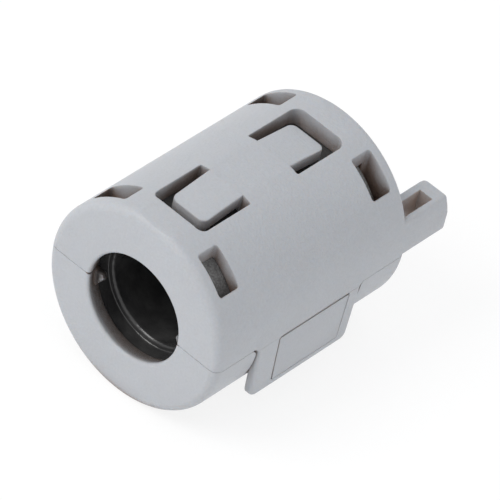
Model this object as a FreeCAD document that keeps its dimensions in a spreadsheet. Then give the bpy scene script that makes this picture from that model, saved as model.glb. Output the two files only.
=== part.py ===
import FreeCAD, Part
import Sketcher
import math
import os

# Clamp-on ferrite core, closed.
# Frame: X to the latch side, Y along the bore from the front end to the loop end, Z up.
# The origin lies on the bore's axis at mid-length; the parting plane is Z = 0.

Vector = FreeCAD.Vector

os.makedirs("parts", exist_ok=True)
doc = FreeCAD.newDocument("ferrite_core")

# Sizes in mm
SIZES = [
    ("bore_radius", 6.0, "ferrite, bore"),
    ("ferrite_wall", 4.1, "ferrite, thickness of the ring"),
    ("case_length", 29.4, "case, length without the tie loop"),
    ("edge_round", 1.0, "case, rounding of the end edges"),
    ("wall", 1.55, "case, side wall"),
    ("end_wall", 2.0, "case, end wall"),
    ("mouth_margin", 0.15, "end opening at the face, beyond the bore"),
    ("throat_margin", 0.75, "end opening behind the wall, beyond the bore"),
    ("mouth_edge", 0.35, "end opening, broken edge at the face"),
    ("crown_sink", 0.25, "depth of the flat strip on the crown"),
    ("crown_wall", 2.35, "wall under the flat strip"),
    ("slot_half_width", 3.52, "tongue slot, half its outer width"),
    ("slot_start", 3.57, "tongue slot, from mid-length to the tongue's root"),
    ("slot_length", 7.43, "tongue slot, length"),
    ("slot_round", 1.0, "tongue slot, rounding of its corners"),
    ("leg_width", 1.2, "gap beside the tongue"),
    ("tip_gap", 1.75, "gap before the tongue's tip"),
    ("tongue_thick", 1.45, "tongue, thickness"),
    ("tongue_drop", 0.68, "tongue, how far its tip is bent inwards"),
    ("tongue_round", 0.8, "tongue, rounding of its tip's corners"),
    ("nub_inset", 0.6, "tongue nub, set back from the tip"),
    ("nub_length", 1.0, "tongue nub, length"),
    ("window_inner", 5.02, "side window, inner edge from the middle"),
    ("window_width", 3.9, "side window, across"),
    ("window_inset", 1.58, "side window, from the end face"),
    ("window_length", 2.86, "side window, along the bore"),
    ("window_round", 0.35, "side window, corner rounding"),
    ("window_depth", 4.8, "side window, where its cut starts"),
    ("ferrite_gap", 0.1, "ferrite, clearance to the side wall"),
    ("flat_gap", 0.05, "ferrite, clearance to the case's inner flat"),
    ("ferrite_end_gap", 0.2, "ferrite, clearance to each end wall"),
    ("relief_step", 0.85, "ferrite, how far the relief at each end stands outside the bore"),
    ("relief_draft", 0.15, "ferrite, how much the relief narrows"),
    ("relief_depth", 1.5, "ferrite, depth of the relief"),
    ("bore_round", 0.35, "ferrite, rounding of the bore's edge in the relief"),
    ("ferrite_edge", 0.6, "ferrite, chamfer of the outer ends"),
    ("strap_out", 0.2, "strap, how far it stands proud of the case"),
    ("strap_thick", 1.0, "strap, thickness"),
    ("strap_front", 8.15, "strap, front side from mid-length at the parting plane"),
    ("strap_rear", 7.45, "strap, rear side from mid-length at the parting plane"),
    ("strap_drop", 7.55, "strap, length below the parting plane"),
    ("strap_draft", 0.4, "strap, how far each side draws in towards its lower end"),
    ("strap_root", 1.8, "strap, height of its root above the parting plane"),
    ("strap_flare", 1.1, "strap, hollow rounding at its root's corners"),
    ("strap_nose", 1.0, "strap, rounding of its lower corners"),
    ("root_skin", 0.01, "strap, thickness left where its root runs out"),
    ("bar_front", 2.95, "strap, bar in front of its window"),
    ("bar_rear", 1.72, "strap, bar behind its window"),
    ("bar_low", 0.95, "strap, bar under its window"),
    ("strap_window_top", 0.2, "strap window, upper edge below the parting plane"),
    ("strap_window_round", 0.3, "strap window, corner rounding"),
    ("recess_gap", 0.3, "clearance beside the strap"),
    ("floor_gap", 0.2, "clearance behind the strap"),
    ("catch_gap", 0.15, "clearance around the catch"),
    ("catch_sink", 0.35, "catch, how far its top lies inside the strap"),
    ("catch_flush", 0.05, "catch, how far its ledge lies inside the strap"),
    ("loop_depth", 4.05, "tie loop, inner face inside the case's outer radius"),
    ("loop_height", 4.2, "tie loop, height"),
    ("loop_reach", 6.6, "tie loop, reach past the rear face"),
    ("loop_wall", 0.95, "tie loop, inner wall"),
    ("loop_gap", 1.75, "tie loop, opening across"),
    ("loop_open", 4.4, "tie loop, opening along the bore"),
    ("loop_draft", 0.4, "tie loop, draft of its end face"),
    ("loop_round", 1.1, "tie loop, rounding of its end corners"),
    ("hinge_offset", 0.85, "hinge axis, distance outside the case"),
    ("hinge_length", 16.0, "hinge, length along the bore"),
    ("bead_radius", 0.4, "film hinge, radius of the fold"),
    ("bead_gap", 0.05, "film hinge, running clearance"),
    ("foot_height", 0.7, "film hinge, height of its foot"),
    ("flange_height", 2.6, "hinge flange, height at the case"),
    ("flange_lip", 1.3, "hinge flange, height at its edge"),
    ("fold_gap", 0.03, "hinge flange, how far it stays short of the axis"),
    ("barb_reach", 1.8, "barb, from the throat to its tip"),
    ("barb_drop", 0.32, "barb, tip below the parting plane"),
    ("barb_height", 2.7, "barb, height at its root"),
    ("barb_thick", 0.8, "barb, thickness"),
]

sheet = doc.addObject("Spreadsheet::Sheet", "sizes")
for row, (alias, number, note) in enumerate(SIZES, start=1):
    sheet.set("A%d" % row, note)
    sheet.set("B%d" % row, str(number))
    sheet.setAlias("B%d" % row, alias)
doc.recompute()


class Size:
    """A length that knows both its value and the expression that gives it."""

    def __init__(self, value, text):
        self.value = value
        self.text = text

    def join(self, other, sign, value):
        return Size(value, "(%s %s %s)" % (self.text, sign, other.text))

    def __add__(self, other):
        other = as_size(other)
        return self.join(other, "+", self.value + other.value)

    def __sub__(self, other):
        other = as_size(other)
        return self.join(other, "-", self.value - other.value)

    def __mul__(self, other):
        other = as_size(other)
        return self.join(other, "*", self.value * other.value)

    def __truediv__(self, other):
        other = as_size(other)
        return self.join(other, "/", self.value / other.value)

    def __neg__(self):
        return self * -1

    def root(self):
        return Size(math.sqrt(self.value), "sqrt(%s)" % self.text)


def as_size(number):
    if isinstance(number, Size):
        return number
    return Size(float(number), "(%s)" % number)


def size(alias):
    """The named size from the sheet."""
    return Size(float(sheet.get(alias)), "sizes." + alias)


def chord(radius, height):
    """Half the chord of a circle at a height above its centre."""
    return (radius * radius - height * height).root()


# Values that several pieces share
OVERLAP = 0.3
DEEP_OVERLAP = 0.9
CLEAR = 1.0
ROUND_BANDS = 3
bore_radius = size("bore_radius")
ferrite_radius = bore_radius + size("ferrite_wall")
cavity_radius = ferrite_radius + size("ferrite_gap")
outer_radius = cavity_radius + size("wall")
half_length = size("case_length") / 2
half_cavity = half_length - size("end_wall")
crown_flat = outer_radius - size("crown_sink")
inner_flat = crown_flat - size("crown_wall")
ferrite_flat = inner_flat - size("flat_gap")
throat_radius = bore_radius + size("throat_margin")
mouth_radius = bore_radius + size("mouth_margin")
strap_front = size("strap_front")
strap_rear = size("strap_rear")
strap_drop = size("strap_drop")
strap_flare = size("strap_flare")
strap_root = size("strap_root")
strap_face = outer_radius + size("strap_out")
strap_back = strap_face - size("strap_thick")
strap_taper = size("strap_draft") / strap_drop
hole_front = strap_front - size("bar_front")
hole_rear = strap_rear - size("bar_rear")
hole_top = size("strap_window_top")
hole_low = strap_drop - size("bar_low")
loop_inner = outer_radius - size("loop_depth")
hinge_axis = outer_radius + size("hinge_offset")
bead_radius = size("bead_radius")
hinge_length = size("hinge_length")


def new_body(name):
    body = doc.addObject("PartDesign::Body", name)
    body.Label = name
    return body


def plane_of(body, role):
    for feature in body.Origin.OriginFeatures:
        if feature.Role == role:
            return feature
    raise ValueError("no plane " + role)


def corner_cut(before, corner, after, radius):
    """Tangent points, centre and turning sense of a rounded corner."""
    back = (before - corner).normalize()
    ahead = (after - corner).normalize()
    half = back.getAngle(ahead) / 2
    reach = radius / math.tan(half)
    middle = (back + ahead).normalize()
    centre = corner + middle * (radius / math.sin(half))
    return corner + back * reach, corner + ahead * reach, centre, back.cross(ahead).z < 0


def fix_point(sketch, geo, across, up):
    """Holds a point at two bound distances from the sketch's origin."""
    for kind, axis, length in (("DistanceX", -2, across), ("DistanceY", -1, up)):
        if abs(length.value) < 1e-9:
            sketch.addConstraint(Sketcher.Constraint("PointOnObject", geo, 1, axis))
        else:
            index = sketch.addConstraint(Sketcher.Constraint(kind, -1, 1, geo, 1, length.value))
            sketch.setExpression("Constraints[%d]" % index, length.text)


def draw_loop(sketch, corners):
    """A closed outline; each corner is (across, up) or (across, up, rounding)."""
    count = len(corners)
    spots = [Vector(as_size(c[0]).value, as_size(c[1]).value, 0) for c in corners]
    marks = []
    cuts = []
    for index, corner in enumerate(corners):
        mark = sketch.addGeometry(Part.Point(spots[index]), True)
        fix_point(sketch, mark, as_size(corner[0]), as_size(corner[1]))
        marks.append(mark)
        if len(corner) == 3:
            before = spots[index - 1]
            after = spots[(index + 1) % count]
            cuts.append(corner_cut(before, spots[index], after, as_size(corner[2]).value))
        else:
            cuts.append(None)
    lines = []
    for index in range(count):
        follow = (index + 1) % count
        begin = cuts[index][1] if cuts[index] else spots[index]
        finish = cuts[follow][0] if cuts[follow] else spots[follow]
        lines.append(sketch.addGeometry(Part.LineSegment(begin, finish), False))
    for index in range(count):
        line_in = lines[index - 1]
        line_out = lines[index]
        if not cuts[index]:
            sketch.addConstraint(Sketcher.Constraint("Coincident", line_in, 2, marks[index], 1))
            sketch.addConstraint(Sketcher.Constraint("Coincident", line_out, 1, marks[index], 1))
            continue
        first, last, centre, forward = cuts[index]
        start, stop = (first, last) if forward else (last, first)
        radius = as_size(corners[index][2])
        circle = Part.Circle(centre, Vector(0, 0, 1), radius.value)
        arc = sketch.addGeometry(Part.ArcOfCircle(circle, circle.parameter(start), circle.parameter(stop)), False)
        near, far = (1, 2) if forward else (2, 1)
        sketch.addConstraint(Sketcher.Constraint("Tangent", line_in, 2, arc, near))
        sketch.addConstraint(Sketcher.Constraint("Tangent", line_out, 1, arc, far))
        sketch.addConstraint(Sketcher.Constraint("PointOnObject", marks[index], 1, line_in))
        sketch.addConstraint(Sketcher.Constraint("PointOnObject", marks[index], 1, line_out))
        rule = sketch.addConstraint(Sketcher.Constraint("Radius", arc, radius.value))
        sketch.setExpression("Constraints[%d]" % rule, radius.text)


def new_sketch(body, name, role, shift=None):
    """A sketch on one of the body's planes, moved along its normal if asked."""
    sketch = body.newObject("Sketcher::SketchObject", name)
    sketch.AttachmentSupport = [(plane_of(body, role), "")]
    sketch.MapMode = "FlatFace"
    if shift is not None:
        sketch.AttachmentOffset = FreeCAD.Placement(Vector(0, 0, as_size(shift).value), FreeCAD.Rotation())
        sketch.setExpression("AttachmentOffset.Base.z", as_size(shift).text)
    return sketch


def outline(body, name, role, loops, shift=None):
    sketch = new_sketch(body, name, role, shift)
    for corners in loops:
        draw_loop(sketch, corners)
    return sketch


def rectangle(left, right, low, high, rounding=None):
    corners = [(left, low), (right, low), (right, high), (left, high)]
    if rounding is None:
        return corners
    return [corner + (rounding,) for corner in corners]


def measure(body):
    doc.recompute()
    return body.Shape.Volume


def shape_step(body, kind, name, sketch, gains, settings):
    """Adds one feature and makes sure that it adds or removes material."""
    earlier = measure(body) if body.Tip else 0.0
    feature = body.newObject("PartDesign::" + kind, name)
    feature.Profile = sketch
    sketch.Visibility = False
    for key, setting in settings.items():
        if isinstance(setting, Size):
            feature.setExpression(key, setting.text)
        else:
            setattr(feature, key, setting)
    later = measure(body)
    if (later - earlier) * gains < 1e-4:
        raise ValueError("%s changes nothing: %.4f to %.4f" % (name, earlier, later))
    return feature


def pad(body, name, sketch, length, middle=False, back=False):
    side = "Symmetric" if middle else "One side"
    settings = {"SideType": side, "Reversed": back, "Length": as_size(length)}
    return shape_step(body, "Pad", name, sketch, 1, settings)


def pocket(body, name, sketch, length, middle=False, back=False):
    side = "Symmetric" if middle else "One side"
    settings = {"SideType": side, "Reversed": back, "Length": as_size(length)}
    return shape_step(body, "Pocket", name, sketch, -1, settings)


def turn(body, kind, name, sketch, angle, back=False):
    gains = 1 if kind == "Revolution" else -1
    settings = {"ReferenceAxis": (sketch, ["V_Axis"]), "Angle": float(angle), "Reversed": back}
    return shape_step(body, kind, name, sketch, gains, settings)


def dress(body, kind, name, amount, chosen):
    """Rounds or chamfers the edges of the body's last feature that the test picks."""
    doc.recompute()
    base = body.Tip
    names = []
    for index, edge in enumerate(base.Shape.Edges, start=1):
        if chosen(edge):
            names.append("Edge%d" % index)
    if not names:
        raise ValueError(name + " finds no edge")
    feature = body.newObject("PartDesign::" + kind, name)
    feature.Base = (base, names)
    feature.setExpression("Radius" if kind == "Fillet" else "Size", amount.text)
    measure(body)
    return feature


def upright(edge, spots):
    """True for an edge along Z at one of the given places."""
    box = edge.BoundBox
    if box.XLength > 0.05 or box.YLength > 0.05 or box.ZLength < 0.2:
        return False
    centre = box.Center
    return any(math.hypot(centre.x - x, centre.y - y) < 0.06 for x, y in spots)


# Rounding of a turned edge in narrow bands, from the end face to the side; it keeps the facets few
def turned_edge(radius, end, amount, inwards, onwards):
    points = []
    for step in range(ROUND_BANDS + 1):
        angle = math.pi / 2 * step / ROUND_BANDS
        across = radius + amount * (inwards * (1 - math.sin(angle)))
        points.append((across, end + amount * (onwards * (1 - math.cos(angle)))))
    return points


def loop_end(edge):
    """True for the outer upright edge at the tie loop's end."""
    box = edge.BoundBox
    reach = half_length + size("loop_reach") - size("loop_draft")
    tall = box.ZLength > size("loop_height").value - 0.1
    outer = loop_inner + size("loop_wall") + size("loop_gap")
    return tall and box.XMin > outer.value and box.YMin > reach.value - 0.1


# Half shell, as both halves of the case share it
def case_shell(body, side):
    upper = side > 0
    rounding = size("edge_round")
    broken = size("mouth_edge")
    corners = [
        (mouth_radius, -half_length + broken),
        (mouth_radius + broken, -half_length),
    ]
    corners += turned_edge(outer_radius, -half_length, rounding, -1, 1)
    corners += reversed(turned_edge(outer_radius, half_length, rounding, -1, -1))
    corners += [
        (mouth_radius + broken, half_length),
        (mouth_radius, half_length - broken),
        (throat_radius, half_cavity),
        (cavity_radius, half_cavity),
        (cavity_radius, -half_cavity),
        (throat_radius, -half_cavity),
    ]
    profile = outline(body, body.Name + "_wall_profile", "XY_Plane", [corners])
    turn(body, "Revolution", body.Name + "_wall", profile, 180, back=upper)

    land_half = chord(cavity_radius, inner_flat)
    land = rectangle(-land_half, land_half, inner_flat * side, (cavity_radius + OVERLAP) * side)
    sketch = outline(body, body.Name + "_land_profile", "XZ_Plane", [land])
    pad(body, body.Name + "_land", sketch, (half_cavity + OVERLAP) * 2, middle=True)

    strip_half = chord(outer_radius, crown_flat) + OVERLAP
    strip = rectangle(-strip_half, strip_half, crown_flat * side, (outer_radius + CLEAR) * side)
    sketch = outline(body, body.Name + "_strip_profile", "XZ_Plane", [strip])
    pocket(body, body.Name + "_strip", sketch, (half_length + CLEAR) * 2, middle=True)


# Spring tongues in their slots, and the side windows near the ends
def case_openings(body, side):
    upper = side > 0
    half_width = size("slot_half_width")
    slot_start = size("slot_start")
    slot_end = slot_start + size("slot_length")
    rounding = size("slot_round")
    slots = []
    for end in (-1, 1):
        slots.append([
            (-half_width, slot_start * end),
            (half_width, slot_start * end),
            (half_width, slot_end * end, rounding),
            (-half_width, slot_end * end, rounding),
        ])
    sketch = outline(body, body.Name + "_slots_profile", "XY_Plane", slots)
    pocket(body, body.Name + "_slots", sketch, outer_radius + CLEAR, back=upper)

    tip = slot_end - size("tip_gap")
    tip_top = crown_flat - size("tongue_drop")
    thick = size("tongue_thick")
    nub_end = tip - size("nub_inset")
    nub_start = nub_end - size("nub_length")
    tongues = []
    for end in (-1, 1):
        tongues.append([
            ((slot_start - OVERLAP) * end, crown_flat * side),
            (slot_start * end, crown_flat * side),
            (tip * end, tip_top * side),
            (tip * end, (tip_top - thick) * side),
            (nub_end * end, (tip_top - thick) * side),
            (nub_end * end, ferrite_flat * side),
            (nub_start * end, ferrite_flat * side),
            (nub_start * end, (tip_top - thick) * side),
            ((slot_start - OVERLAP) * end, (crown_flat - thick) * side),
        ])
    tongue_half = half_width - size("leg_width")
    sketch = outline(body, body.Name + "_tongues_profile", "YZ_Plane", tongues)
    pad(body, body.Name + "_tongues", sketch, tongue_half * 2, middle=True)
    corners = [(tongue_half.value * x, tip.value * y) for x in (-1, 1) for y in (-1, 1)]
    dress(body, "Fillet", body.Name + "_tongue_tips", size("tongue_round"),
          lambda edge: upright(edge, corners))

    inner = size("window_inner")
    across = inner + size("window_width")
    near = half_length - size("window_inset") - size("window_length")
    far = half_length - size("window_inset")
    windows = []
    for end in (-1, 1):
        for hand in (-1, 1):
            windows.append(rectangle(inner * hand, across * hand, near * end, far * end, size("window_round")))
    level = size("window_depth") * side
    sketch = outline(body, body.Name + "_windows_profile", "XY_Plane", windows, shift=level)
    pocket(body, body.Name + "_windows", sketch, outer_radius, back=upper)


# Outline of the strap, grown all round where the recess takes it
def strap_corners(grow, low, top):
    front = strap_front + grow
    rear = strap_rear + grow
    ear = strap_flare + size("recess_gap")
    return [
        (-(front - strap_taper * low), -low, size("strap_nose")),
        (rear - strap_taper * low, -low, size("strap_nose")),
        (rear, 0, strap_flare),
        (rear + ear, 0),
        (rear + ear, top),
        (-front - ear, top),
        (-front - ear, 0),
        (-front, 0, strap_flare),
    ]


# Hinge flange of one half: it stops just short of the axis and is hollow around the bead
def hinge_flange(body, side):
    edge = hinge_axis - size("fold_gap")
    inside = outer_radius - DEEP_OVERLAP
    flange = [
        (-edge, 0),
        (-inside, 0),
        (-inside, size("flange_height") * side),
        (-chord(outer_radius, size("flange_height")), size("flange_height") * side),
        (-edge, size("flange_lip") * side),
    ]
    sketch = outline(body, body.Name + "_flange_profile", "XZ_Plane", [flange])
    pad(body, body.Name + "_flange", sketch, hinge_length, middle=True)


def bead_groove(body):
    sketch = new_sketch(body, body.Name + "_bead_profile", "XZ_Plane")
    reach = bead_radius + size("bead_gap")
    ring = sketch.addGeometry(Part.Circle(Vector(-hinge_axis.value, 0, 0), Vector(0, 0, 1), reach.value), False)
    rule = sketch.addConstraint(Sketcher.Constraint("Radius", ring, reach.value))
    sketch.setExpression("Constraints[%d]" % rule, reach.text)
    sketch.addConstraint(Sketcher.Constraint("PointOnObject", ring, 3, -1))
    rule = sketch.addConstraint(Sketcher.Constraint("DistanceX", -1, 1, ring, 3, -hinge_axis.value))
    sketch.setExpression("Constraints[%d]" % rule, (-hinge_axis).text)
    pocket(body, body.Name + "_bead_groove", sketch, hinge_length + CLEAR, middle=True)


# Lower half of the case: shell, recess and catch for the strap, barbs, hinge flange
def lower_case():
    body = new_body("lower_case")
    case_shell(body, -1)
    hinge_flange(body, -1)
    case_openings(body, -1)

    floor = strap_back - size("floor_gap")
    corners = strap_corners(size("recess_gap"), strap_drop + CLEAR, as_size(CLEAR))
    sketch = outline(body, "recess_profile", "YZ_Plane", [corners], shift=floor)
    pocket(body, "strap_recess", sketch, size("strap_thick") + CLEAR * 2, back=True)

    gap = size("catch_gap")
    top = hole_top + gap
    ledge = hole_low - gap
    top_face = strap_face - size("catch_sink")
    ledge_face = strap_face - size("catch_flush")
    catch = [
        (cavity_radius + OVERLAP, -top),
        (top_face, -top),
        (ledge_face, -ledge),
        (chord(cavity_radius + DEEP_OVERLAP, ledge), -ledge),
    ]
    front = hole_front - gap
    rear = hole_rear - gap
    sketch = outline(body, "catch_profile", "XZ_Plane", [catch], shift=(front - rear) / 2)
    pad(body, "catch", sketch, front + rear, middle=True)
    sides = []
    for hand, edge in ((-1, front), (1, rear)):
        sides.append([
            (edge * hand, 0),
            ((edge + CLEAR) * hand, 0),
            ((edge + CLEAR) * hand, -(ledge + CLEAR)),
            ((edge - strap_taper * (ledge + CLEAR)) * hand, -(ledge + CLEAR)),
        ])
    sketch = outline(body, "catch_sides_profile", "YZ_Plane", sides, shift=floor)
    pocket(body, "catch_sides", sketch, size("strap_thick") + CLEAR * 2, back=True)

    tip = throat_radius - size("barb_reach")
    drop = size("barb_drop")
    height = size("barb_height")
    thick = size("barb_thick")
    barbs = []
    for hand in (-1, 1):
        barbs.append([
            ((throat_radius + OVERLAP) * hand, 0),
            (tip * hand, -drop),
            (chord(throat_radius, height) * hand, -height),
            ((throat_radius + OVERLAP) * hand, -height),
        ])
    for end in (-1, 1):
        middle = -(half_cavity + thick / 2) * end
        sketch = outline(body, "barb_profile_%s" % ("front" if end < 0 else "rear"), "XZ_Plane", barbs, shift=middle)
        pad(body, "barbs_%s" % ("front" if end < 0 else "rear"), sketch, thick, middle=True)

    foot = bead_radius + size("bead_gap")
    well = rectangle(-hinge_axis - CLEAR, -(hinge_axis - foot), -size("foot_height"), CLEAR)
    sketch = outline(body, "film_seat_profile", "XZ_Plane", [well])
    pocket(body, "film_seat", sketch, hinge_length + CLEAR, middle=True)
    return body


# Upper half of the case: shell, strap latch, tie loop, hinge flange
def upper_case():
    body = new_body("upper_case")
    case_shell(body, 1)
    hinge_flange(body, 1)
    bead_groove(body)
    case_openings(body, 1)

    rounding = size("strap_window_round")
    window = [
        (-(hole_front - strap_taper * hole_low), -hole_low, rounding),
        (hole_rear - strap_taper * hole_low, -hole_low, rounding),
        (hole_rear - strap_taper * hole_top, -hole_top, rounding),
        (-(hole_front - strap_taper * hole_top), -hole_top, rounding),
    ]
    corners = strap_corners(as_size(0), strap_drop, strap_root)
    sketch = outline(body, "strap_profile", "YZ_Plane", [corners, window], shift=strap_back)
    pad(body, "strap", sketch, size("strap_thick"))

    shoulder = chord(outer_radius, strap_root) + size("root_skin")
    ramp = [
        (strap_face, 0),
        (strap_face + CLEAR, 0),
        (strap_face + CLEAR, strap_root + CLEAR),
        (shoulder, strap_root + CLEAR),
        (shoulder, strap_root),
    ]
    sketch = outline(body, "strap_ramp_profile", "XZ_Plane", [ramp])
    pocket(body, "strap_ramp", sketch, (strap_front + strap_flare + CLEAR) * 2, middle=True)

    height = size("loop_height")
    end = half_length + size("loop_reach")
    root = half_length - size("edge_round") - OVERLAP
    rounding = size("loop_round")
    block = [
        (loop_inner, root),
        (outer_radius + CLEAR, root),
        (outer_radius + CLEAR, end),
        (loop_inner, end, rounding),
    ]
    sketch = outline(body, "loop_profile", "XY_Plane", [block])
    pad(body, "tie_loop", sketch, height)
    skin = rectangle(outer_radius, outer_radius * 2, root - OVERLAP, end + CLEAR)
    sketch = outline(body, "loop_skin_profile", "XY_Plane", [skin])
    turn(body, "Groove", "loop_skin", sketch, 90, back=True)
    eye = rectangle(loop_inner + size("loop_wall"), loop_inner + size("loop_wall") + size("loop_gap"),
                    half_length, half_length + size("loop_open"))
    sketch = outline(body, "loop_eye_profile", "XY_Plane", [eye])
    pocket(body, "loop_eye", sketch, height + CLEAR, back=True)
    slant = [
        (end, 0),
        (end + CLEAR, 0),
        (end + CLEAR, height + CLEAR),
        (end - size("loop_draft"), height + CLEAR),
        (end - size("loop_draft"), height),
    ]
    sketch = outline(body, "loop_draft_profile", "YZ_Plane", [slant], shift=outer_radius - CLEAR)
    pocket(body, "loop_slant", sketch, outer_radius, middle=True)
    dress(body, "Fillet", "loop_rounding", rounding, loop_end)
    return body


# Thin web that joins the halves; its bead is the fold and its foot stands on the lower flange
def film_hinge():
    body = new_body("film_hinge")
    foot = rectangle(-hinge_axis, -(hinge_axis - bead_radius), -size("foot_height"), 0)
    sketch = outline(body, "foot_profile", "XZ_Plane", [foot])
    pad(body, "film_foot", sketch, hinge_length, middle=True)
    sketch = new_sketch(body, "fold_profile", "XZ_Plane")
    ring = sketch.addGeometry(Part.Circle(Vector(-hinge_axis.value, 0, 0), Vector(0, 0, 1), bead_radius.value), False)
    rule = sketch.addConstraint(Sketcher.Constraint("Radius", ring, bead_radius.value))
    sketch.setExpression("Constraints[%d]" % rule, bead_radius.text)
    sketch.addConstraint(Sketcher.Constraint("PointOnObject", ring, 3, -1))
    rule = sketch.addConstraint(Sketcher.Constraint("DistanceX", -1, 1, ring, 3, -hinge_axis.value))
    sketch.setExpression("Constraints[%d]" % rule, (-hinge_axis).text)
    pad(body, "film_fold", sketch, hinge_length, middle=True)
    return body


# Half ring of ferrite with a flat on its crown, ground on its two mating faces
def ferrite_half(name, flip):
    body = new_body(name)
    half = half_cavity - size("ferrite_end_gap")
    edge = size("ferrite_edge")
    rounding = size("bore_round")
    corners = [
        (ferrite_radius - edge, -half),
        (ferrite_radius, -half + edge),
        (ferrite_radius, half - edge),
        (ferrite_radius - edge, half),
    ]
    mouth = bore_radius + size("relief_step")
    bottom = mouth - size("relief_draft")
    floor = half - size("relief_depth")
    corners += [(mouth, half), (bottom, floor)]
    corners += turned_edge(bore_radius, floor, rounding, 1, -1)
    corners += reversed(turned_edge(bore_radius, -floor, rounding, 1, 1))
    corners += [(bottom, -floor), (mouth, -half)]
    profile = outline(body, name + "_profile", "XY_Plane", [corners])
    turn(body, "Revolution", name + "_ring", profile, 180)
    flat = rectangle(-ferrite_radius, ferrite_radius, -ferrite_flat, -(ferrite_radius + CLEAR))
    sketch = outline(body, name + "_flat_profile", "XZ_Plane", [flat])
    pocket(body, name + "_flat", sketch, (half + CLEAR) * 2, middle=True)
    if flip:
        body.Placement = FreeCAD.Placement(Vector(0, 0, 0), FreeCAD.Rotation(Vector(0, 1, 0), 180))
    return body


pieces = [lower_case(), upper_case(), film_hinge(), ferrite_half("lower_ferrite", False),
          ferrite_half("upper_ferrite", True)]
doc.recompute()

for item in doc.Objects:
    if "Invalid" in item.State or "Error" in item.State:
        raise ValueError("%s is not sound: %s" % (item.Name, item.State))
for piece in pieces:
    shape = piece.Shape
    if shape.isNull() or not shape.isValid() or len(shape.Solids) != 1:
        raise ValueError("%s is not one sound solid" % piece.Label)
    shape.exportStep("parts/%s.step" % piece.Label)
    box = shape.BoundBox
    print("%s volume %.1f, X %.2f to %.2f, Y %.2f to %.2f, Z %.2f to %.2f" % (
        piece.Label, shape.Volume, box.XMin, box.XMax, box.YMin, box.YMax, box.ZMin, box.ZMax))
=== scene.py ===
import bmesh
import bpy
import math
from mathutils import Matrix, Vector


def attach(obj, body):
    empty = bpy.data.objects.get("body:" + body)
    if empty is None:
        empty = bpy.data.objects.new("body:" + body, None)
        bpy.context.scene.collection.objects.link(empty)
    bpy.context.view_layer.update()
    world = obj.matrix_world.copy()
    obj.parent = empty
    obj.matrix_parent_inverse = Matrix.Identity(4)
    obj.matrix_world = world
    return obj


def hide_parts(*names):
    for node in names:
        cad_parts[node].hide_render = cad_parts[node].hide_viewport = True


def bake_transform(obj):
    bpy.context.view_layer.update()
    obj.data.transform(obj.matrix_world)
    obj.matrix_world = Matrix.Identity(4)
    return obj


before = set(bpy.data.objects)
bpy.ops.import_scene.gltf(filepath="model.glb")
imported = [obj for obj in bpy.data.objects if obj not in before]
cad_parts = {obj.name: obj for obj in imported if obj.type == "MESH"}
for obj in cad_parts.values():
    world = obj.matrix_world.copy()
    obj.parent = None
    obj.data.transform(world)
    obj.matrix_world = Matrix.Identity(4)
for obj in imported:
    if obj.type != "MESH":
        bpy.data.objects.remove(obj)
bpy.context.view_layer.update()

# Studio: a plain white table that rises behind as a backdrop, a wide soft light from the upper
# left, a weaker one low from the right, and an even white room. The camera stands where the
# photograph was taken from, and its place is given from the middle of the near end of the bore.
MM = 0.001
TABLE_LEVEL = -11.5 * MM
TABLE_REACH = 3.0
TABLE_STEPS = 40
RISE_START = 1.6
RISE_RATE = 0.6
VIEW_AZIMUTH = 32.703
VIEW_ELEVATION = 42.740
VIEW_ROLL = 14.475
VIEW_DISTANCE = 594.767 * MM
VIEW_SHIFT = (11.912 * MM, 5.968 * MM)
NEAR_MOUTH = (0, -14.7 * MM, 0)
FOCAL_PIXELS = 5882.932
FRAME_PIXELS = 500
SENSOR_WIDTH = 36


class Level:
    """A number that changes over a surface; arithmetic on it adds Math nodes."""

    def __init__(self, finish, socket):
        self.finish = finish
        self.socket = socket

    def join(self, operation, first, second):
        made = self.finish.node("ShaderNodeMath", {"operation": operation}, {0: first, 1: second})
        return Level(self.finish, made.outputs[0])

    def __add__(self, other):
        return self.join("ADD", self, other)

    def __radd__(self, other):
        return self.join("ADD", other, self)

    def __sub__(self, other):
        return self.join("SUBTRACT", self, other)

    def __rsub__(self, other):
        return self.join("SUBTRACT", other, self)

    def __mul__(self, other):
        return self.join("MULTIPLY", self, other)

    def __rmul__(self, other):
        return self.join("MULTIPLY", other, self)

    def __abs__(self):
        return self.join("ABSOLUTE", self, 0)

    def kept(self):
        """The same number held between 0 and 1."""
        return self.join("MINIMUM", self.join("MAXIMUM", self, 0), 1)


class Finish:
    """A material, or the world, made of nodes."""

    def __init__(self, holder):
        holder.use_nodes = True
        self.holder = holder
        self.tree = holder.node_tree
        self.tree.nodes.clear()

    def node(self, kind, settings, feeds):
        made = self.tree.nodes.new(kind)
        for key, setting in settings.items():
            if key == "stops":
                ramp = made.color_ramp
                ramp.elements[0].position, ramp.elements[0].color = setting[0]
                ramp.elements[1].position, ramp.elements[1].color = setting[-1]
                for place, colour in setting[1:-1]:
                    ramp.elements.new(place).color = colour
            else:
                setattr(made, key, setting)
        for key, feed in feeds.items():
            feed = feed.socket if isinstance(feed, Level) else feed
            if isinstance(feed, bpy.types.NodeSocket):
                self.tree.links.new(feed, made.inputs[key])
            else:
                made.inputs[key].default_value = feed
        return made

    def level(self, made, key):
        return Level(self, made.outputs[key])


def seen_directly(finish):
    """1 for what the camera sees, straight, in a gloss or through glass."""
    path = finish.node("ShaderNodeLightPath", {}, {})
    seen = finish.level(path, "Is Camera Ray") + finish.level(path, "Is Glossy Ray")
    return seen + finish.level(path, "Is Transmission Ray")


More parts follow.
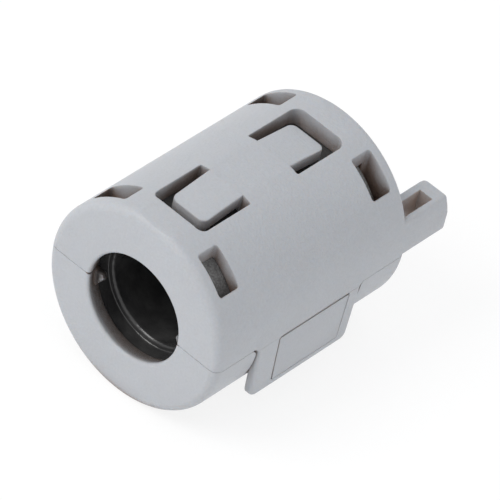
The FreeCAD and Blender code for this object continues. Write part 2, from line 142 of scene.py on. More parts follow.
def table_finish():
    finish = Finish(bpy.data.materials.new("table_white"))
    paper = finish.node("ShaderNodeBsdfDiffuse", {}, {"Color": (0.95, 0.95, 0.95, 1)})
    glow = finish.node("ShaderNodeEmission", {}, {"Color": (1, 1, 1, 1), "Strength": 1.04})
    share = seen_directly(finish) * 0.8
    mixed = finish.node("ShaderNodeMixShader", {}, {
        0: share, 1: paper.outputs[0], 2: glow.outputs[0]})
    finish.node("ShaderNodeOutputMaterial", {}, {"Surface": mixed.outputs[0]})
    return finish.holder


def lay_table():
    """A wide sheet that lies flat and rises behind in one curve."""
    sheet = bmesh.new()
    sides = (-TABLE_REACH, TABLE_REACH)
    lines = []
    for step in range(TABLE_STEPS + 1):
        along = -TABLE_REACH + 2 * TABLE_REACH * step / TABLE_STEPS
        rise = max(0.0, along - RISE_START)
        level = TABLE_LEVEL + rise * rise * RISE_RATE
        lines.append([sheet.verts.new((across, along, level)) for across in sides])
    for first, second in zip(lines, lines[1:]):
        sheet.faces.new((first[0], first[1], second[1], second[0])).smooth = True
    mesh = bpy.data.meshes.new("table")
    sheet.to_mesh(mesh)
    sheet.free()
    table = bpy.data.objects.new("table", mesh)
    bpy.context.collection.objects.link(table)
    mesh.materials.append(table_finish())


def hang_light(name, place, size, watts, colour):
    """A round soft light that faces the object."""
    lamp = bpy.data.lights.new(name, "AREA")
    lamp.shape = "DISK"
    lamp.size = size
    lamp.energy = watts
    lamp.color = colour
    holder = bpy.data.objects.new(name, lamp)
    holder.location = place
    holder.rotation_euler = (-Vector(place)).to_track_quat("-Z", "Y").to_euler()
    bpy.context.collection.objects.link(holder)


def fill_room():
    world = bpy.data.worlds.new("room")
    bpy.context.scene.world = world
    finish = Finish(world)
    air = finish.node("ShaderNodeBackground", {}, {"Color": (0.97, 0.985, 1, 1), "Strength": 0.72})
    white = finish.node("ShaderNodeBackground", {}, {"Color": (1, 1, 1, 1), "Strength": 1.0})
    mixed = finish.node("ShaderNodeMixShader", {}, {
        0: seen_directly(finish), 1: air.outputs[0], 2: white.outputs[0]})
    finish.node("ShaderNodeOutputWorld", {}, {"Surface": mixed.outputs[0]})


def place_camera():
    azimuth = math.radians(VIEW_AZIMUTH)
    elevation = math.radians(VIEW_ELEVATION)
    roll = math.radians(VIEW_ROLL)
    back = Vector((
        math.sin(azimuth) * math.cos(elevation),
        -math.cos(azimuth) * math.cos(elevation),
        math.sin(elevation)))
    level = Vector((math.cos(azimuth), math.sin(azimuth), 0))
    above = back.cross(level)
    right = math.cos(roll) * level + math.sin(roll) * above
    up = math.cos(roll) * above - math.sin(roll) * level
    shift = right * VIEW_SHIFT[0] + up * VIEW_SHIFT[1]
    spot = back * VIEW_DISTANCE + shift + Vector(NEAR_MOUTH)
    lens = bpy.data.cameras.new("camera")
    lens.sensor_width = SENSOR_WIDTH
    lens.lens = FOCAL_PIXELS / FRAME_PIXELS * SENSOR_WIDTH
    lens.clip_start = 0.01
    camera = bpy.data.objects.new("camera", lens)
    turn = Matrix((right, up, back)).transposed().to_4x4()
    camera.matrix_world = Matrix.Translation(spot) @ turn
    bpy.context.collection.objects.link(camera)
    bpy.context.scene.camera = camera


bpy.context.scene.view_settings.view_transform = "Standard"
lay_table()
fill_room()
hang_light("key_light", (-0.42, -0.62, 0.75), 0.6, 5.0, (1.0, 0.995, 0.98))
hang_light("fill_light", (0.95, -0.1, 0.06), 0.4, 0.45, (0.97, 0.985, 1.0))
place_camera()

# Lower half of the case: half shell of light grey polyamide, moulded with end walls, two spring
# tongues, four windows, the catch that the strap snaps over, a recess for the strap and four
# barbs. Sizes are in millimetres; side is -1 for the lower half and 1 for the upper one.
CASE_RADIUS = 11.75
CASE_HALF = 14.7
CASE_STEPS = 192
END_ROUND = 1.0
CAVITY_RADIUS = 10.2
CAVITY_HALF = 12.56
MOUTH_RADIUS = 6.15
MOUTH_ROUND = 0.35
THROAT_RADIUS = 6.75
CROWN_FLAT = 11.5
STRIP_HALF = 3
INNER_FLAT = 9.15
FERRITE_FLAT = 9.1
SEAM = 0.13
OUTSIDE = 14
SLOT_HALF = 3.52
SLOT_START = 3.57
SLOT_END = 11.0
SLOT_CUT = (6, 13)
SLOT_CORNERS = (0.2, 1.0)
TONGUE_HALF = 2.32
TONGUE_TIP = 9.25
TONGUE_THICK = 1.45
TONGUE_DROP = 0.68
TONGUE_SKIN = 0.006
TONGUE_CORNER = 0.8
TONGUE_CROP = (8, 13)
TONGUE_EDGE = 0.12
NUB_END = 8.65
NUB_START = 7.65
NUB_HALF = 2.1
WINDOW_X = (5.02, 8.92)
WINDOW_Y = (10.26, 13.12)
WINDOW_CUT = (4.8, 12)
WINDOW_CORNER = 0.35
NOTCH_X = (5.8, 6.75)
NOTCH_RISE = 0.26
NOTCH_DEPTH = 0.6
STRAP_FACE = 11.95
STRAP_FRONT = 8.15
STRAP_REAR = 7.45
STRAP_DROP = 7.55
STRAP_TAPER = 0.053
STRAP_FLARES = (1.1, 0.5)
STRAP_NOSE = 1.0
RECESS_GAP = 0.3
RECESS_FLOOR = 10.75
HOLE_FRONT = 5.2
HOLE_REAR = 5.73
CATCH_SIDES = (4.96, 5.722)
CATCH_TOP = 0.5
CATCH_LOW = 6.592
CATCH_SINK = (0.05, 0.012)
CATCH_ROOTS = (10.5, 9.15)
BARB_OUTLINE = ((7.3, -0.07), (5.35, -0.1), (4.98, -0.65), (6.25, -2.6), (7.3, -2.9))
BARB_Y = (12.75, 13.5)
BARB_EDGE = 0.24
HINGE_HALF = 8.0
FLANGE_EDGE = -12.57
FLANGE_TOP = -11.46
FLANGE_ROOT = -11.2
FLANGE_LIP = 1.3
FLANGE_HEIGHT = 2.6
FLANGE_GAP = 0.02
CREASE_ANGLE = 32
SHARP_ANGLE = 40


def keep_mesh(name, form):
    """An object from a bmesh in millimetres."""
    bmesh.ops.recalc_face_normals(form, faces=form.faces)
    bmesh.ops.scale(form, vec=(MM, MM, MM), verts=form.verts)
    mesh = bpy.data.meshes.new(name)
    form.to_mesh(mesh)
    form.free()
    made = bpy.data.objects.new(name, mesh)
    bpy.context.collection.objects.link(made)
    return made


def turned(name, profile, begin, finish, steps):
    """A closed profile of (radius, along), swept round the bore's axis between two angles."""
    form = bmesh.new()
    rings = []
    for step in range(steps + 1):
        angle = math.radians(begin + (finish - begin) * step / steps)
        across, up = math.cos(angle), math.sin(angle)
        rings.append([form.verts.new((radius * across, y, radius * up)) for radius, y in profile])
    count = len(profile)
    for first, second in zip(rings, rings[1:]):
        for index in range(count):
            after = (index + 1) % count
            form.faces.new((first[index], first[after], second[after], second[index]))
    form.faces.new(rings[0])
    form.faces.new(rings[-1])
    return keep_mesh(name, form)


def spot_on(axis, across, up, along):
    """A point from its two places in the outline's plane and its place along the axis."""
    return {"X": (along, across, up), "Y": (across, along, up), "Z": (across, up, along)}[axis]


def prism(name, outlines, axis, low, high):
    """Flat outlines in millimetres, drawn out along an axis."""
    form = bmesh.new()
    for outline in outlines:
        floor = [form.verts.new(spot_on(axis, a, b, low)) for a, b in outline]
        roof = [form.verts.new(spot_on(axis, a, b, high)) for a, b in outline]
        form.faces.new(floor)
        form.faces.new(roof)
        for index in range(len(outline)):
            after = (index + 1) % len(outline)
            form.faces.new((floor[index], floor[after], roof[after], roof[index]))
    return keep_mesh(name, form)


def rounded(corners, steps=8):
    """An outline whose corners (across, up, radius) are rounded."""
    points = []
    count = len(corners)
    for index, corner in enumerate(corners):
        spot = Vector(corner[:2])
        radius = corner[2] if len(corner) == 3 else 0
        if not radius:
            points.append(tuple(spot))
            continue
        back = (Vector(corners[index - 1][:2]) - spot).normalized()
        ahead = (Vector(corners[(index + 1) % count][:2]) - spot).normalized()
        half = back.angle(ahead) / 2
        centre = spot + (back + ahead).normalized() * (radius / math.sin(half))
        first = spot + back * (radius / math.tan(half)) - centre
        last = spot + ahead * (radius / math.tan(half)) - centre
        swing = first.angle_signed(last)
        for step in range(steps + 1):
            turn = Matrix.Rotation(-swing * step / steps, 2)
            points.append(tuple(centre + turn @ first))
    return points


def box_outline(left, right, low, high, radius=0):
    return rounded([
        (left, low, radius), (right, low, radius), (right, high, radius), (left, high, radius)])


def extent(sign, near, far):
    """Two distances, taken to the side that sign names, in rising order."""
    return sorted((near * sign, far * sign))


def settle(piece):
    """Turns a piece's modifiers into mesh."""
    graph = bpy.context.evaluated_depsgraph_get()
    mesh = bpy.data.meshes.new_from_object(piece.evaluated_get(graph))
    worn = piece.data
    piece.modifiers.clear()
    piece.data = mesh
    bpy.data.meshes.remove(worn)


def carve(piece, tool, operation):
    """Joins, cuts or crops a piece with a tool, which is used up."""
    cut = piece.modifiers.new("cut", "BOOLEAN")
    cut.operation = operation
    cut.solver = "EXACT"
    cut.object = tool
    settle(piece)
    bpy.data.objects.remove(tool)


def soften(piece, width, segments, held=True):
    """Rounds a small piece's sharp edges; held keeps it from reaching past short edges."""
    ease = piece.modifiers.new("ease", "BEVEL")
    ease.width = width * MM
    ease.segments = segments
    ease.use_clamp_overlap = held
    ease.limit_method = "ANGLE"
    ease.angle_limit = math.radians(SHARP_ANGLE)
    settle(piece)


def smooth_faces(piece):
    """Smooth shading, with creases kept where faces meet at a wide angle."""
    form = bmesh.new()
    form.from_mesh(piece.data)
    for face in form.faces:
        face.smooth = True
    for edge in form.edges:
        gentle = len(edge.link_faces) == 2 and edge.calc_face_angle(0) < math.radians(CREASE_ANGLE)
        edge.smooth = gentle
    form.to_mesh(piece.data)
    form.free()


def quarter(steps):
    """Angles from 0 to a right angle."""
    return [math.pi / 2 * step / steps for step in range(steps + 1)]


def case_profile():
    """Section of the wall: outer side with rounded ends, and end openings that widen inwards."""
    far = []
    for angle in quarter(6):
        far.append((MOUTH_RADIUS + MOUTH_ROUND * (1 - math.cos(angle)),
                    CASE_HALF - MOUTH_ROUND * (1 - math.sin(angle))))
    for angle in quarter(8):
        far.append((CASE_RADIUS - END_ROUND * (1 - math.sin(angle)),
                    CASE_HALF - END_ROUND * (1 - math.cos(angle))))
    near = [(radius, -along) for radius, along in far]
    return near + far[::-1] + [(THROAT_RADIUS, CAVITY_HALF), (THROAT_RADIUS, -CAVITY_HALF)]


def cavity_outline(side):
    """Where the ferrite lies: round, with a flat under the crown."""
    steps = 40
    reach = math.asin(INNER_FLAT / CAVITY_RADIUS)
    right = [(CAVITY_RADIUS, -side * 0.5)]
    for step in range(steps + 1):
        angle = reach * step / steps
        right.append((CAVITY_RADIUS * math.cos(angle), CAVITY_RADIUS * math.sin(angle) * side))
    return right + [(-across, up) for across, up in reversed(right)]


def build_tongue(end, side):
    """A spring tongue that slopes inwards, with a nub near its tip that presses on the ferrite."""
    top = CROWN_FLAT - TONGUE_DROP
    skin = CROWN_FLAT - TONGUE_SKIN
    plate = [
        (SLOT_START - 1, CROWN_FLAT - 0.45),
        (SLOT_START - 0.15, skin),
        (SLOT_START - 0.03, skin),
        (TONGUE_TIP, top),
        (TONGUE_TIP, top - TONGUE_THICK),
        (SLOT_START - 1, CROWN_FLAT - TONGUE_THICK),
    ]
    outline = [(y * end, z * side) for y, z in plate]
    tongue = prism("tongue", [outline], "X", -TONGUE_HALF, TONGUE_HALF)
    shoulder = 6 * end
    crop = rounded([
        (-TONGUE_HALF - 1, 0),
        (TONGUE_HALF + 1, 0),
        (TONGUE_HALF + 1, shoulder),
        (TONGUE_HALF, shoulder),
        (TONGUE_HALF, TONGUE_TIP * end, TONGUE_CORNER),
        (-TONGUE_HALF, TONGUE_TIP * end, TONGUE_CORNER),
        (-TONGUE_HALF, shoulder),
        (-TONGUE_HALF - 1, shoulder),
    ])
    carve(tongue, prism("crop", [crop], "Z", *extent(side, *TONGUE_CROP)), "INTERSECT")
    soften(tongue, TONGUE_EDGE, 3)
    nub = box_outline(*extent(end, NUB_START, NUB_END), *extent(side, FERRITE_FLAT, top - 1))
    carve(tongue, prism("nub", [nub], "X", -NUB_HALF, NUB_HALF), "UNION")
    return tongue


def case_half(name, side):
    """The half shell with its tongues and windows, as both halves have them."""
    seam = SEAM if side < 0 else 0
    shell = turned(name, case_profile(), seam * side, (180 - seam) * side, CASE_STEPS)
    cavity = prism("cavity", [cavity_outline(side)], "Y", -CAVITY_HALF, CAVITY_HALF)
    carve(shell, cavity, "DIFFERENCE")
    strip = box_outline(-STRIP_HALF, STRIP_HALF, CROWN_FLAT * side, (CROWN_FLAT + 1) * side)
    carve(shell, prism("strip", [strip], "Y", -CASE_HALF - 1, CASE_HALF + 1), "DIFFERENCE")
    slots = []
    windows = []
    for end in (-1, 1):
        slots.append(rounded([
            (-SLOT_HALF, SLOT_START * end, SLOT_CORNERS[0]),
            (SLOT_HALF, SLOT_START * end, SLOT_CORNERS[0]),
            (SLOT_HALF, SLOT_END * end, SLOT_CORNERS[1]),
            (-SLOT_HALF, SLOT_END * end, SLOT_CORNERS[1]),
        ]))
        for hand in (-1, 1):
            x = [place * hand for place in WINDOW_X]
            y = [place * end for place in WINDOW_Y]
            windows.append(box_outline(*x, *y, WINDOW_CORNER))
    carve(shell, prism("slots", slots, "Z", *extent(side, *SLOT_CUT)), "DIFFERENCE")
    carve(shell, prism("windows", windows, "Z", *extent(side, *WINDOW_CUT)), "DIFFERENCE")
    for end in (-1, 1):
        carve(shell, build_tongue(end, side), "UNION")
    flange = [
        (FLANGE_EDGE, FLANGE_GAP * side),
        (FLANGE_ROOT, FLANGE_GAP * side),
        (FLANGE_ROOT, FLANGE_HEIGHT * side),
        (FLANGE_TOP, FLANGE_HEIGHT * side),
        (FLANGE_EDGE, FLANGE_LIP * side),
    ]
    carve(shell, prism("flange", [flange], "Y", -HINGE_HALF, HINGE_HALF), "UNION")
    for hand in (-1, 1):
        notch = [
            (NOTCH_X[0] * hand, NOTCH_RISE * side),
            (NOTCH_X[0] * hand, -0.5 * side),
            (NOTCH_X[1] * hand, -0.5 * side),
            (NOTCH_X[1] * hand, -0.02 * side),
        ]
        for end in (-1, 1):
            reach = extent(end, CASE_HALF - NOTCH_DEPTH, CASE_HALF + 1)
            carve(shell, prism("notch", [notch], "Y", *reach), "DIFFERENCE")
    return shell


def strap_outline(grow, drop, top):
    """The strap from its side: hollow corners at its root, and both sides drawn in downwards."""
    front = STRAP_FRONT + grow
    rear = STRAP_REAR + grow
    front_ear = front + STRAP_FLARES[0] + 0.05
    rear_ear = rear + STRAP_FLARES[1] + 0.05
    return rounded([
        (-(front - STRAP_TAPER * drop), -drop, STRAP_NOSE),
        (rear - STRAP_TAPER * drop, -drop, STRAP_NOSE),
        (rear, 0, STRAP_FLARES[1]),
        (rear_ear, 0),
        (rear_ear, top),
        (-front_ear, top),
        (-front_ear, 0),
        (-front, 0, STRAP_FLARES[0]),
    ])


def hole_outline(front, rear, top, low, rounding):
    """The strap's window, or the catch that fills it; both are drawn in downwards."""
    return rounded([
        (-(front - STRAP_TAPER * low), -low, rounding),
        (rear - STRAP_TAPER * low, -low, rounding),
        (rear - STRAP_TAPER * top, -top, rounding),
        (-(front - STRAP_TAPER * top), -top, rounding),
    ])


CASE_GREY = (0.465, 0.478, 0.506)
# Painted warm shade, laid where nearby surfaces close the case in: corners, slots, windows and
# recesses.
RECESS_PAINTED_SHADE = (0.2, 0.14, 0.112, 1)
# Painted deeper shade for the inner walls of the end openings.
THROAT_PAINTED_SHADE = (0.095, 0.07, 0.058, 1)
# Painted dark shade for the barbs, which sit in shadow inside the end openings.
BARB_PAINTED_SHADE = (0.04, 0.033, 0.031, 1)
# Painted warm glow, standing for light through the translucent plastic inside the loop's eye.
EYE_PAINTED_GLOW = (0.76, 0.62, 0.54, 1)


def surface_places(finish):
    """The surface's own coordinates, in millimetres."""
    place = finish.node("ShaderNodeTexCoord", {}, {})
    scaled = finish.node("ShaderNodeVectorMath", {"operation": "SCALE"}, {
        0: place.outputs["Object"], "Scale": 1 / MM})
    return scaled.outputs[0]


def noise(finish, spot, scale, detail, roughness=0.5):
    made = finish.node("ShaderNodeTexNoise", {}, {
        "Vector": spot, "Scale": scale, "Detail": detail, "Roughness": roughness})
    return finish.level(made, "Fac")


def openness(finish, distance):
    """1 on an open surface, down to 0 where other surfaces close it in within a distance."""
    made = finish.node("ShaderNodeAmbientOcclusion", {"samples": 4}, {"Distance": distance * MM})
    return finish.level(made, "AO")


def layered(finish, share, under, over):
    """One colour laid over another, to a share of 1."""
    made = finish.node("ShaderNodeMix", {"data_type": "RGBA"}, {"Factor": share, 6: under, 7: over})
    return made.outputs[2]


def distance_from_bore(finish, spot):
    flat = finish.node("ShaderNodeVectorMath", {"operation": "MULTIPLY"}, {0: spot, 1: (1, 0, 1)})
    length = finish.node("ShaderNodeVectorMath", {"operation": "LENGTH"}, {0: flat.outputs[0]})
    return finish.level(length, "Value")


def distance_along(finish, spot, axis):
    """How far a place is from the middle of the core along an axis, to either side."""
    parts = finish.node("ShaderNodeSeparateXYZ", {}, {"Vector": spot})
    return abs(finish.level(parts, axis))


def past(level, start, slope):
    """0 up to a start, and rising to 1 beyond it."""
    return ((level - start) * slope).kept()


def short_of(level, stop, slope):
    """1 well below a stop, and falling to 0 at it."""
    return ((stop - level) * slope).kept()


def plastic_finish():
    """Moulded polyamide with a fine spark-eroded grain and faint clouds; painted shade darkens its
    corners, recesses, end openings and barbs, and a painted warm glow lies inside the loop's eye.
    """
    finish = Finish(bpy.data.materials.new("case_plastic_grey"))
    spot = surface_places(finish)
    cloud = noise(finish, spot, 0.16, 3.0)
    patch = noise(finish, spot, 0.9, 2.0)
    speck = noise(finish, spot, 3.6, 3.0)
    tone = cloud * 0.4 + patch * 0.2 + speck * 0.7 - 0.15
    dark = tuple(channel * 0.9 for channel in CASE_GREY) + (1,)
    pale = tuple(channel * 1.1 for channel in CASE_GREY) + (1,)
    near = openness(finish, 2.4)
    far = openness(finish, 14)
    radius = distance_from_bore(finish, spot)
    across = distance_along(finish, spot, "X")
    along = distance_along(finish, spot, "Y")
    # loop, skin, tongue and pane shape the painted shade in corners: it follows ambient occlusion,
    # reaches further near the windows and is weaker on the outer skin, the loop and the tongues;
    # loop also bounds the painted glow in the eye.
    loop = past(along, CASE_HALF + 0.02, 20)
    skin = past(radius, CASE_RADIUS - 0.4, 4)
    tongue = short_of(across, TONGUE_HALF + 0.1, 10) * short_of(along, TONGUE_TIP + 0.15, 10)
    pane = past(across, WINDOW_X[0] - 0.22, 10) * past(along, WINDOW_Y[0] - 0.16, 10) * (1 - loop)
    reach = 1.75 + pane * 0.7 - loop * 0.95 - skin * 0.9
    corner = ((0.8 + pane * 0.07 - near) * reach).kept() * (1 - tongue * 0.65)
    # inside: the inner walls of the end openings, where the throat and barb shade is painted.
    inside = short_of(radius, THROAT_RADIUS + 0.55, 4) * short_of(along, CASE_HALF - 0.06, 1.3)
    # barb: the barbs' share of painted shade, deep in the end openings.
    barb = short_of(radius, MOUTH_RADIUS + 0.05, 5) * inside * short_of(far, 0.98, 5)
    colour = layered(finish, tone, dark, pale)
    # Painted warm glow where the loop's eye is closed in.
    colour = layered(finish, short_of(near, 0.8, 2.2) * loop, colour, EYE_PAINTED_GLOW)
    # Painted shade in corners and recesses.
    colour = layered(finish, corner, colour, RECESS_PAINTED_SHADE)
    # Painted shade deep in the end openings, where little light reaches.
    colour = layered(finish, short_of(far, 0.78, 3.2) * inside, colour, THROAT_PAINTED_SHADE)
    colour = layered(finish, barb, colour, BARB_PAINTED_SHADE)
    edge = finish.node("ShaderNodeBevel", {"samples": 4}, {"Radius": 0.2 * MM})
    bump = finish.node("ShaderNodeBump", {}, {
        "Strength": 0.5, "Distance": 0.14 * MM, "Height": speck * 0.7 + patch * 0.6,
        "Normal": edge.outputs[0]})
    shader = finish.node("ShaderNodeBsdfPrincipled", {}, {
        "Base Color": colour, "Roughness": 0.42 + patch * 0.12, "IOR": 1.5,
        "Normal": bump.outputs[0], "Subsurface Weight": 0.3,
        "Subsurface Radius": (1.0, 0.65, 0.45), "Subsurface Scale": 0.5 * MM})
    finish.node("ShaderNodeOutputMaterial", {}, {"Surface": shader.outputs[0]})
    return finish.holder


case_plastic = plastic_finish()


def finish_case(piece, body, node):
    smooth_faces(piece)
    piece.data.materials.clear()
    piece.data.materials.append(case_plastic)
    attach(piece, body)
    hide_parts(node)


def build_lower_case():
    shell = case_half("lower_case_shell", -1)
    bed = strap_outline(RECESS_GAP, STRAP_DROP + 1, 1)
    carve(shell, prism("recess", [bed], "X", RECESS_FLOOR, OUTSIDE), "DIFFERENCE")
    catch = prism("catch", [[
        (CATCH_ROOTS[0], -CATCH_TOP),
        (STRAP_FACE - CATCH_SINK[0], -CATCH_TOP),
        (STRAP_FACE - CATCH_SINK[1], -CATCH_LOW),
        (CATCH_ROOTS[1], -CATCH_LOW),
    ]], "Y", -HOLE_FRONT, HOLE_REAR)
    sides = hole_outline(*CATCH_SIDES, CATCH_TOP - 0.2, CATCH_LOW + 0.2, 0.1)
    carve(catch, prism("catch_sides", [sides], "X", 8, OUTSIDE), "INTERSECT")
    soften(catch, 0.02, 2)
    carve(shell, catch, "UNION")
    for end in (-1, 1):
        for hand in (-1, 1):
            outline = [(across * hand, up) for across, up in BARB_OUTLINE]
            barb = prism("barb", [outline], "Y", *extent(end, *BARB_Y))
            soften(barb, BARB_EDGE, 4)
            carve(shell, barb, "UNION")
    finish_case(shell, "lower_half", "lower_case")


build_lower_case()

# Upper half of the case: the same half shell with the strap latch, whose window snaps over the
# catch, and the loop for a cable tie at the rear. It is one moulding with the lower half.
LOOP_INNER = 7.7
LOOP_HEIGHT = 4.2
LOOP_END = 21.3
LOOP_DRAFT = 0.4
LOOP_EYE_X = (8.65, 10.4)
LOOP_EYE_END = 19.1
LOOP_TOOL_TOP = 6
LOOP_ROUND = 1.1
LOOP_EDGE = 0.35
HOLE_TOP = 0.2
HOLE_LOW = 6.6
HOLE_CORNER = 0.3
STRAP_BACK = 10.95
STRAP_ROOT = 1.8
STRAP_EDGE = 0.42
STRAP_BACK_EDGE = 0.15
STRAP_REACH = 12
CREASE_DEPTH = 0.1
FADE_SINK = 0.015
FADE_SLANT = 0.19


def ease_rim(piece, level, width):
    """Rounds the edges that end a face across X, below the parting plane."""
    form = bmesh.new()
    form.from_mesh(piece.data)
    rim = []
    for edge in form.edges:
        flat = all(abs(spot.co.x - level * MM) < 0.001 * MM for spot in edge.verts)
        if flat and all(spot.co.z < 0.001 * MM for spot in edge.verts):
            rim.append(edge)
    bmesh.ops.bevel(form, geom=rim, offset=width * MM, segments=5, profile=0.5, affect="EDGES")
    form.to_mesh(piece.data)
    form.free()


def build_strap():
    """A plate with a window, whose face runs into the shell above and at its two ears."""
    strap = prism("strap", [strap_outline(0, STRAP_DROP, STRAP_ROOT)], "X", STRAP_BACK, STRAP_FACE)
    ease_rim(strap, STRAP_FACE, STRAP_EDGE)
    ease_rim(strap, STRAP_BACK, STRAP_BACK_EDGE)
    above = STRAP_FACE + 1
    shoulder = math.sqrt(CASE_RADIUS ** 2 - STRAP_ROOT ** 2) - 0.004
    ramp = [
        (STRAP_FACE, 0),
        (above, 0),
        (above, STRAP_ROOT + 1),
        (shoulder, STRAP_ROOT + 1),
        (shoulder, STRAP_ROOT),
    ]
    carve(strap, prism("ramp", [ramp], "Y", -STRAP_REACH, STRAP_REACH), "DIFFERENCE")
    sunk = CASE_RADIUS - FADE_SINK
    for hand, reach, flare in zip((-1, 1), (STRAP_FRONT, STRAP_REAR), STRAP_FLARES):
        root = (reach - 0.02) * hand
        tip = (reach + flare) * hand
        slope = [
            (STRAP_FACE + 0.004, root),
            (sunk, tip),
            (sunk, tip + hand),
            (above, tip + hand),
            (above, root),
        ]
        fade = prism("fade", [slope], "Z", -flare - 0.13, 3)
        for spot in fade.data.vertices:
            if spot.co.z > MM and spot.co.x < CASE_RADIUS * MM:
                spot.co.x -= FADE_SLANT * MM
        carve(strap, fade, "DIFFERENCE")
    lip = STRAP_FACE + 0.1
    crease = [(STRAP_FACE - CREASE_DEPTH, -0.05), (lip, -0.01), (lip, -0.4)]
    carve(strap, prism("crease", [crease], "Y", -STRAP_REACH, STRAP_REACH), "DIFFERENCE")
    window = hole_outline(HOLE_FRONT, HOLE_REAR, HOLE_TOP, HOLE_LOW, HOLE_CORNER)
    carve(strap, prism("window", [window], "X", 8, OUTSIDE), "DIFFERENCE")
    return strap


def build_loop():
    """A block that carries on the shell's skin, with rounded outer corners and a slanted end."""
    skin = CASE_RADIUS - 0.02
    steps = 4
    reach = math.asin(LOOP_HEIGHT / skin)
    section = [(LOOP_INNER, 0)]
    for step in range(steps + 1):
        angle = reach * step / steps
        section.append((skin * math.cos(angle), skin * math.sin(angle)))
    section.append((LOOP_INNER, LOOP_HEIGHT))
    loop = prism("loop", [section], "Y", CASE_HALF - 1.3, LOOP_END)
    crop = rounded([
        (5, 10),
        (CASE_RADIUS + 0.01, 10),
        (CASE_RADIUS + 0.01, LOOP_END, LOOP_ROUND),
        (LOOP_INNER, LOOP_END, LOOP_ROUND),
        (LOOP_INNER, 12),
        (5, 12),
    ], 4)
    carve(loop, prism("crop", [crop], "Z", -1, LOOP_TOOL_TOP), "INTERSECT")
    slant = [
        (LOOP_END, 0),
        (LOOP_END + 1, 0),
        (LOOP_END + 1, LOOP_TOOL_TOP),
        (LOOP_END - LOOP_DRAFT, LOOP_TOOL_TOP),
        (LOOP_END - LOOP_DRAFT, LOOP_HEIGHT),
    ]
    carve(loop, prism("slant", [slant], "X", 5, OUTSIDE), "DIFFERENCE")
    soften(loop, LOOP_EDGE, 4, held=False)
    return loop


def build_upper_case():
    shell = case_half("upper_case_shell", 1)
    carve(shell, build_loop(), "UNION")
    eye = box_outline(*LOOP_EYE_X, CASE_HALF, LOOP_EYE_END)
    carve(shell, prism("eye", [eye], "Z", -1, LOOP_TOOL_TOP), "DIFFERENCE")
    carve(shell, build_strap(), "UNION")
    finish_case(shell, "upper_half", "upper_case")


build_upper_case()

# Film hinge: the thin web moulded between the two flanges, drawn standing out in a small fold, as
# it does when the core is closed.
FILM_SPINE = (
    (-12.45, -0.75), (-12.72, -0.55), (-12.84, -0.2), (-12.84, 0.2), (-12.72, 0.55), (-12.45, 0.75))
FILM_STEPS = 6
FILM_THICK = 0.28
FILM_PLAY = 0.1


def build_film():
    outer = []
    for first, second in zip(FILM_SPINE, FILM_SPINE[1:]):
        for step in range(FILM_STEPS):
            share = step / FILM_STEPS
            outer.append(tuple(a + (b - a) * share for a, b in zip(first, second)))
    outer.append(FILM_SPINE[-1])
    inner = [(x + FILM_THICK, z * 0.8) for x, z in outer]
    half = HINGE_HALF - FILM_PLAY
    film = prism("film_web", [outer + inner[::-1]], "Y", -half, half)
    smooth_faces(film)
    film.data.materials.append(case_plastic)
    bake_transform(film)
    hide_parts("film_hinge")


build_film()

# Ferrite halves: two equal half rings, pressed and sintered, near black, with ground mating faces,
# a flat on the crown for the tongues, and a shallow relief with a rounded step at either end of
# the bore. They lie loose in the case, held by the tongues.
FERRITE_RADIUS = 10.1
FERRITE_BORE = 6.0
FERRITE_HALF = 12.5
FERRITE_EDGE = 0.6
FERRITE_STEPS = 144
RELIEF_MOUTH = 6.85
RELIEF_FLOOR = 6.7
RELIEF_DEPTH = 1.5
RELIEF_CORNER = 0.06
BORE_ROUND = 0.45
FERRITE_BLACK = (0.006, 0.006, 0.007, 1)
FERRITE_CHALK = (0.34, 0.335, 0.33, 1)
FLECK_STOPS = ((0.0, (1, 1, 1, 1)), (0.16, (0.5, 0.5, 0.5, 1)), (0.3, (0, 0, 0, 1)))


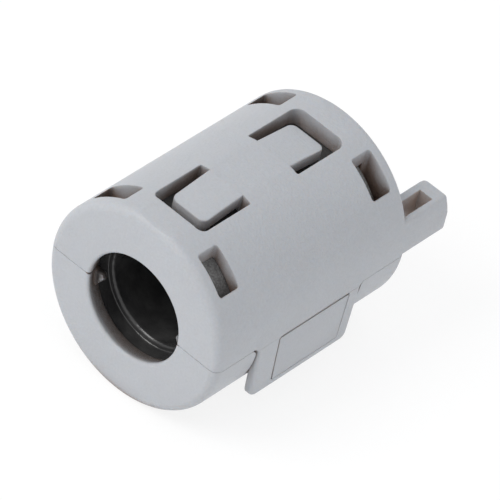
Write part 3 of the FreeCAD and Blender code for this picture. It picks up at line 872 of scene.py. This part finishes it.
def ferrite_finish():
    """Sintered ferrite: black and glossy in the bore, dusted grey outside, with pale flecks; the
    crown flat under the tongues gets little grey, as painted shade.
    """
    finish = Finish(bpy.data.materials.new("ferrite_black"))
    spot = surface_places(finish)
    cloud = noise(finish, spot, 0.5, 3.0)
    grain = noise(finish, spot, 3.2, 4.0)
    dust = noise(finish, spot, 4.5, 5.0, 0.7)
    ripple = noise(finish, spot, 1.3, 2.0)
    cells = finish.node("ShaderNodeTexVoronoi", {}, {"Vector": spot, "Scale": 2.6})
    flecks = finish.node("ShaderNodeValToRGB", {"stops": FLECK_STOPS}, {
        0: cells.outputs["Distance"]})
    fleck = finish.level(flecks, "Color") * grain
    # crown: the flat under the tongues, where most of the grey is left off as painted shade.
    crown = past(distance_along(finish, spot, "Z"), FERRITE_FLAT - 0.1, 12)
    outside = past(distance_from_bore(finish, spot), 7.5, 0.6) * (1 - crown * 0.85)
    chalk = past(dust, 0.25, 1.8)
    tone = (cloud * 0.2 + outside * (chalk * 0.7 + fleck * 0.15)).kept()
    height = grain + fleck * 0.6 + ripple * (1 - outside) * 3
    bump = finish.node("ShaderNodeBump", {}, {
        "Strength": 0.35, "Distance": 0.05 * MM, "Height": height})
    shader = finish.node("ShaderNodeBsdfPrincipled", {}, {
        "Base Color": layered(finish, tone, FERRITE_BLACK, FERRITE_CHALK),
        "Roughness": 0.13 + grain * 0.14 + outside * 0.35, "IOR": 1.7, "Specular IOR Level": 0.3,
        "Normal": bump.outputs[0]})
    finish.node("ShaderNodeOutputMaterial", {}, {"Surface": shader.outputs[0]})
    return finish.holder


ferrite_black = ferrite_finish()


def ferrite_profile():
    """Section of the ring: chamfered outer rims, and the relief and rounded step at each end."""
    outer = [(FERRITE_RADIUS - FERRITE_EDGE, -FERRITE_HALF),
             (FERRITE_RADIUS, -FERRITE_HALF + FERRITE_EDGE)]
    outer += [(radius, -along) for radius, along in reversed(outer)]
    floor = FERRITE_HALF - RELIEF_DEPTH
    lip = [(RELIEF_MOUTH, FERRITE_HALF), (RELIEF_FLOOR, floor + RELIEF_CORNER),
           (RELIEF_FLOOR - RELIEF_CORNER, floor)]
    for angle in reversed(quarter(8)):
        lip.append((FERRITE_BORE + BORE_ROUND * (1 - math.cos(angle)),
                    floor - BORE_ROUND * (1 - math.sin(angle))))
    return outer + lip + [(radius, -along) for radius, along in reversed(lip)]


def build_ferrite(name, side, body, node):
    ring = turned(name, ferrite_profile(), 0, 180 * side, FERRITE_STEPS)
    flat = box_outline(-12, 12, FERRITE_FLAT * side, 12 * side)
    carve(ring, prism("flat", [flat], "Y", -16, 16), "DIFFERENCE")
    smooth_faces(ring)
    ring.data.materials.clear()
    ring.data.materials.append(ferrite_black)
    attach(ring, body)
    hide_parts(node)


build_ferrite("lower_ferrite_half", -1, "lower_half", "lower_ferrite")
build_ferrite("upper_ferrite_half", 1, "upper_half", "upper_ferrite")
